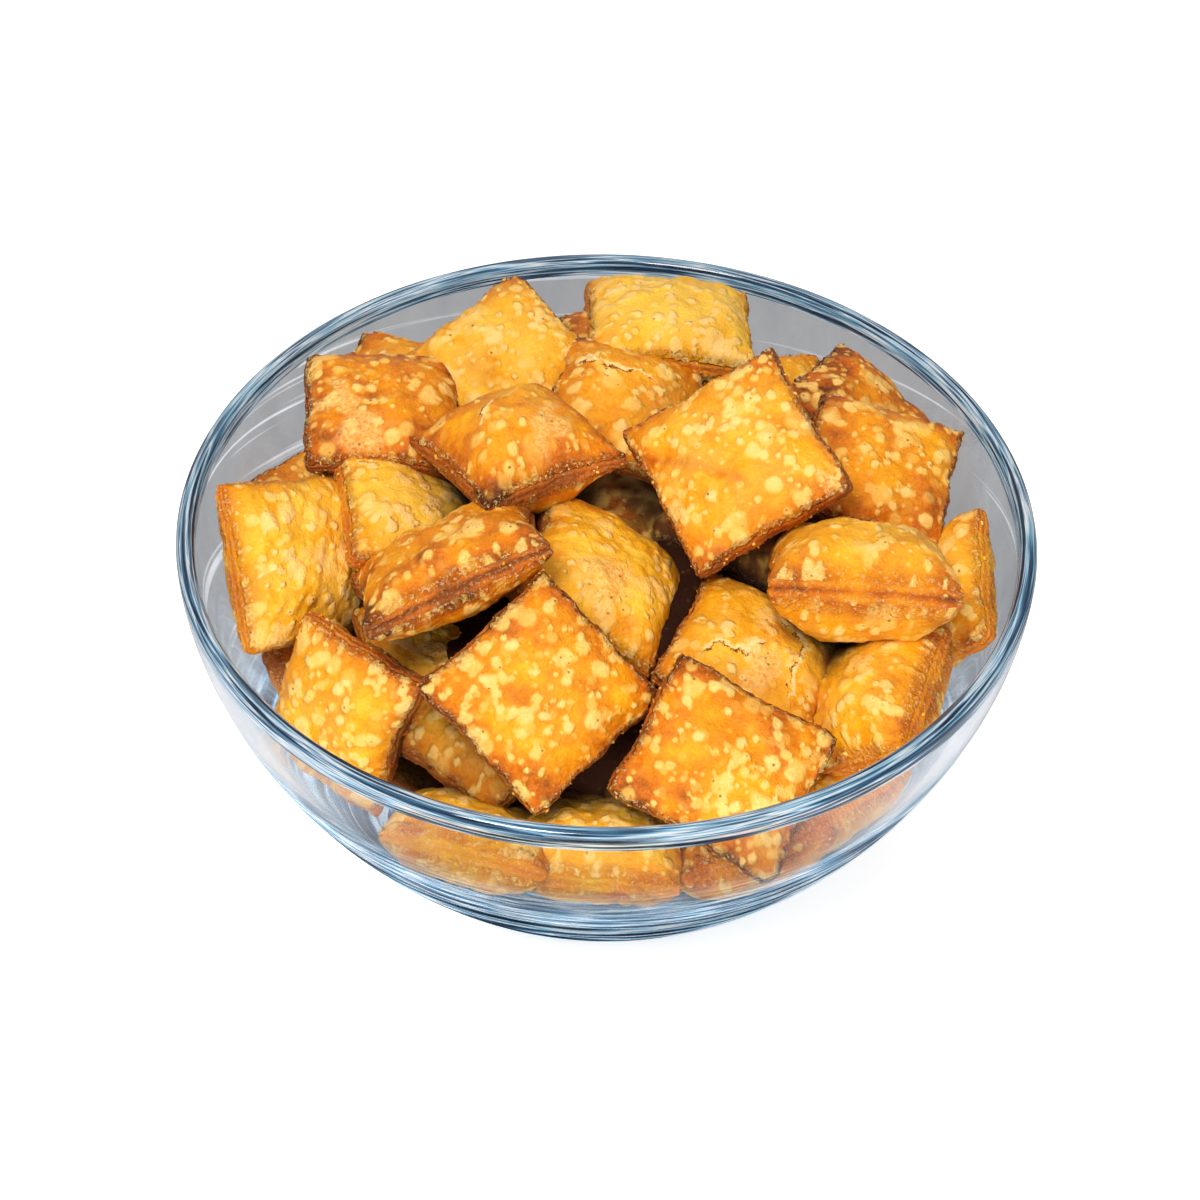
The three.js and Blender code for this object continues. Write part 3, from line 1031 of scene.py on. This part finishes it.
fineSteps, coarseSteps = 84, 28  # faces along a side of a snack that shows, and of one that doesn't
shownSeed, hiddenSeed = 100, 400
shown = [{**snackShape, **snack} for snack in shownSnacks]
hidden = [{**snackShape, "deep": paintedShadeShape["hidden"], **snack} for snack in hiddenSnacks]
surfaces = [snackSurface(snack, fineSteps, shownSeed + i) for i, snack in enumerate(shown)]
crumbs = looseCrumbs(surfaces, crumbShape)
surfaces += [snackSurface(snack, coarseSteps, hiddenSeed + i) for i, snack in enumerate(hidden)]
surfaces += [crumbs, heapCore(coreShape)]
everyPoint = np.vstack([points for points, faces, fields in surfaces])
ends = np.cumsum([len(points) for points, faces, fields in surfaces])
# Painted shade deep in the heap, stronger on the snacks that don't show, the crumbs and the core
everyPaintedShade = np.split(paintedShadeField(everyPoint, paintedShadeShape), ends[:-1])
strengths = [snack["deep"] for snack in shown + hidden] + [paintedShadeShape["hidden"]] * 2
for (points, faces, fields), deep, strength in zip(surfaces, everyPaintedShade, strengths):
    fields["deep"] = np.minimum(1, deep * strength)
# Painted shade: the core is dark all over
surfaces[-1][2]["deep"][:] = 1
print("snacks shaped")


def joinSurfaces(name, parts):
    first = np.cumsum([0] + [len(points) for points, faces, fields in parts])
    faces = [block + start for part, start in zip(parts, first) for block in part[1]]
    points, fields = stackSurfaces([(points, fields) for points, faces, fields in parts])
    piece = addPiece(name, points, faces, [pastry], fields)
    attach(piece, "root")
    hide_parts("heap")


pieces = {
    "back": (0, 5),
    "behind": (5, 10),
    "front": (10, 15),
    "left": (15, 20),
    "middle": (20, 25),
    "under": (25, 29),
}
for name, (first, last) in pieces.items():
    joinSurfaces("snacks_" + name, surfaces[first:last])
joinSurfaces("snacks_low", surfaces[len(shownSnacks):-2])
joinSurfaces("crumbs", surfaces[-2:-1])
joinSurfaces("heap_core", surfaces[-1:])
print("heap made")


lightAim = (0, 0, 0.05)
lightShape = {
    "key": {"place": (-0.22, -0.42, 0.9), "side": 0.3, "watts": 6.75, "colour": (1, 0.98, 0.96)},
    "front": {"place": (0.05, -0.9, 0.22), "side": 0.5, "watts": 4.4, "colour": (1, 0.99, 0.97)},
    "fill": {"place": (0.6, -0.3, 0.8), "side": 0.5, "watts": 0.9, "colour": (0.97, 0.98, 1)},
    "back": {"place": (-0.1, 0.7, 0.9), "side": 0.5, "watts": 1.3, "colour": (1, 1, 1)},
}


def addLight(name, shape):
    data = bpy.data.lights.new(name, "AREA")
    data.size = shape["side"]
    data.energy = shape["watts"]
    data.color = shape["colour"]
    light = bpy.data.objects.new(name, data)
    place = Vector(shape["place"])
    turned = (Vector(lightAim) - place).to_track_quat("-Z", "Y").to_matrix().to_4x4()
    light.matrix_world = Matrix.Translation(place) @ turned
    bpy.context.scene.collection.objects.link(light)


for name, shape in lightShape.items():
    addLight(name, shape)


# Soft daylight, steel blue near the horizon and white higher up
skyLook = {
    "stops": [
        (0.0, (0.4, 0.4, 0.4, 1)),
        (0.5, (0.16, 0.2, 0.25, 1)),
        (0.535, (0.2, 0.34, 0.46, 1)),
        (0.57, (1.5, 1.55, 1.6, 1)),
        (0.6, (0.2, 0.3, 0.42, 1)),
        (0.66, (0.3, 0.32, 0.34, 1)),
        (0.73, (0.95, 0.95, 0.95, 1)),
        (0.8, (0.42, 0.42, 0.42, 1)),
        (1.0, (0.6, 0.58, 0.56, 1)),
    ],
    "strength": 0.8,
}


def studioWorld(look):
    world = bpy.data.worlds.new("studio")
    world.use_nodes = True
    tree = world.node_tree
    place = tree.nodes.new("ShaderNodeTexCoord")
    across, along, up = parted(tree, place.outputs["Generated"])
    sky = ramp(tree, scaled(tree, up, 0.5, 0.5), look["stops"])
    tree.links.new(sky, tree.nodes["Background"].inputs["Color"])
    tree.nodes["Background"].inputs["Strength"].default_value = look["strength"]
    bpy.context.scene.world = world


studioWorld(skyLook)


floorLook = {
    "camera": (0.95, 0.95, 0.95, 1),
    "lift": 0.5,  # light of its own that the camera sees, which keeps the shadow faint
    "near": (0.1, 0.11, 0.12, 1),  # painted shade: what the glass shows of the floor in front of the bowl
    "side": (0.8, 0.83, 0.87, 1),  # the same to the left and right of the dark part
    "darkSide": (38.0, 80.0),
    # painted shade: the floor as the glass sees it behind the bowl, with painted white reflections of
    # streaks
    "far": (0.43, 0.43, 0.435, 1),
    "streak": (0.95, 0.97, 1, 1),
    "ringReach": (56, 78),  # painted reflections: streaks of a room lie round the foot and fade between these radii
    "ringRound": 1.2,
    "ringFineness": 0.3,
    "rings": [
        (0.38, srgb(16, 30, 48)),
        (0.45, srgb(80, 120, 152)),
        (0.49, srgb(150, 204, 232)),
        (0.53, srgb(252, 254, 255)),
        (0.565, srgb(96, 140, 174)),
        (0.63, srgb(28, 48, 72)),
    ],
    # the painted reflections glow with this strength
    "ringGlow": 0.7,
    "roughness": 0.8,
    "reach": 2500,
    "height": -0.05,
}


def addFloor(look):
    # White where the camera looks straight at it, as the photograph's background is. The glass sees
    # it darker in front of the bowl, with long streaks round the foot.
    material, tree, shader = newMaterial("floor")
    where = millimetres(tree)
    across, along, up = parted(tree, where)
    radius = maths(tree, "SQRT", scaled(tree, along, along, times(tree, across, across)))
    streak = useGroup(tree, streakGroup, Vector=where, Up=radius, Round=look["ringRound"],
                      Fineness=look["ringFineness"])["Streak"]
    rings = ramp(tree, streak, look["rings"])
    near = inverse(tree, step(tree, radius, *look["ringReach"]))
    far = tint(tree, step(tree, streak, 0.56, 0.66), look["far"], look["streak"])
    beside = step(tree, maths(tree, "ABSOLUTE", across), *look["darkSide"])
    beside = times(tree, beside, inverse(tree, step(tree, along, 0.0, 50.0)))
    plain = tint(tree, step(tree, along, -60.0, 20.0), look["near"], far)
    plain = tint(tree, beside, plain, look["side"])
    # Painted shade and painted reflections for the glass: darker in front of and behind the bowl,
    # streaks round the foot
    tree.links.new(tint(tree, near, plain, rings), shader.inputs["Base Color"])
    # The painted reflections glow
    tree.links.new(tint(tree, near, (0, 0, 0, 1), rings), shader.inputs["Emission Color"])
    shader.inputs["Emission Strength"].default_value = look["ringGlow"]
    white = tree.nodes.new("ShaderNodeBsdfPrincipled")
    for node in (shader, white):
        node.inputs["Roughness"].default_value = look["roughness"]
    white.inputs["Base Color"].default_value = look["camera"]
    white.inputs["Emission Color"].default_value = (1, 1, 1, 1)
    white.inputs["Emission Strength"].default_value = look["lift"]
    mixByRay(tree, "Is Camera Ray", shader, white)

    line = np.linspace(-look["reach"], look["reach"], 9)
    x, y = (part.ravel() for part in np.meshgrid(line, line, indexing="ij"))
    points = np.stack([x, y, np.full(len(x), look["height"])], -1)
    floor = addPiece("floor", points, [gridQuads(len(line))], [material])


addFloor(floorLook)
bpy.context.scene.view_settings.view_transform = "Standard"
print("studio lit")
